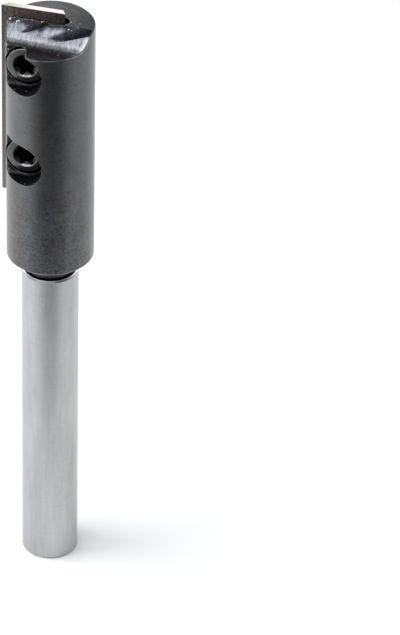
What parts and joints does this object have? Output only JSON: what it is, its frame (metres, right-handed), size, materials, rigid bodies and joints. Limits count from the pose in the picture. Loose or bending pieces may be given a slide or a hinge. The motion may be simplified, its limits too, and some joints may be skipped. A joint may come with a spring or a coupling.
{
  "type": "router bit",
  "caption": "Straight router bit whose cylindrical head holds a clamped flat carbide knife in a slot, with a chip gullet across the top and a plain round shank.",
  "frame": {"origin": "centre of the shank's end face, on the tool's axis", "axes": "+Z along the tool's axis from the shank's end to the cutting end; the knife's rake face looks to -Y and its cutting edge is on the -X side"},
  "size_m": [0.0132, 0.0122, 0.0909],
  "materials": {
    "holder": "black oxide head, ground bright shank",
    "knife": "ground tungsten carbide",
    "clamp_screws": "blackened alloy steel"
  },
  "bodies": {
    "root": {"holder": "holder", "knife": "knife", "clamp_screws": "clamp_screws"}
  },
  "joints": []
}
